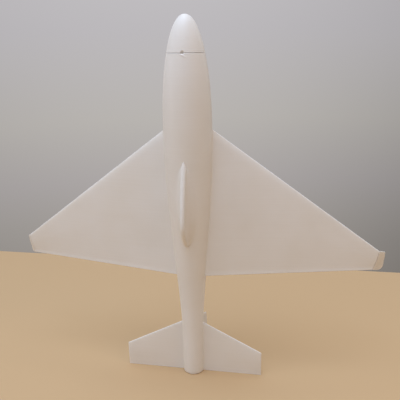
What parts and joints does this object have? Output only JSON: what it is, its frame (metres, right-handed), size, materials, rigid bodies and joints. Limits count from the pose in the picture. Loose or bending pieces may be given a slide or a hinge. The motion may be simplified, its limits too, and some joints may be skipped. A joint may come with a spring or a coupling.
{
  "type": "hand glider",
  "caption": "Printed plastic hand-launched glider that stands on its tail, with swept wings, upturned tips, belly finger grip, tail surfaces and a pull-off weighted nose cone.",
  "frame": {"origin": "middle of the flat tail end that the glider stands on", "axes": "+Z from the tail end to the nose, +X along the right span, +Y out of the top side, where the fin is"},
  "size_m": [0.212, 0.0643, 0.2],
  "materials": {
    "printed_white": "white printed plastic, slightly translucent, satin, with fine layer lines across the length",
    "printed_inner": "white printed plastic, unsmoothed",
    "steel": "cut and turned bar"
  },
  "bodies": {
    "airframe": {"fuselage_pod": "printed_white", "tail_boom": "printed_white", "tail_plug": "printed_inner", "front_wing_saddle": "printed_inner", "rear_wing_saddle": "printed_inner", "left_wing": "printed_white", "right_wing": "printed_white", "left_winglet": "printed_white", "right_winglet": "printed_white", "finger_keel": "printed_white", "left_tailplane": "printed_white", "right_tailplane": "printed_white", "fin": "printed_white"},
    "nose": {"nose_cone": "printed_white", "nose_ballast": "steel", "ballast_disc": "printed_inner"}
  },
  "joints": [
    {"name": "nose_slide", "type": "slide", "parent": "airframe", "child": "nose", "axis": [0, 0, 1], "range_m": [0, 0.009]}
  ]
}
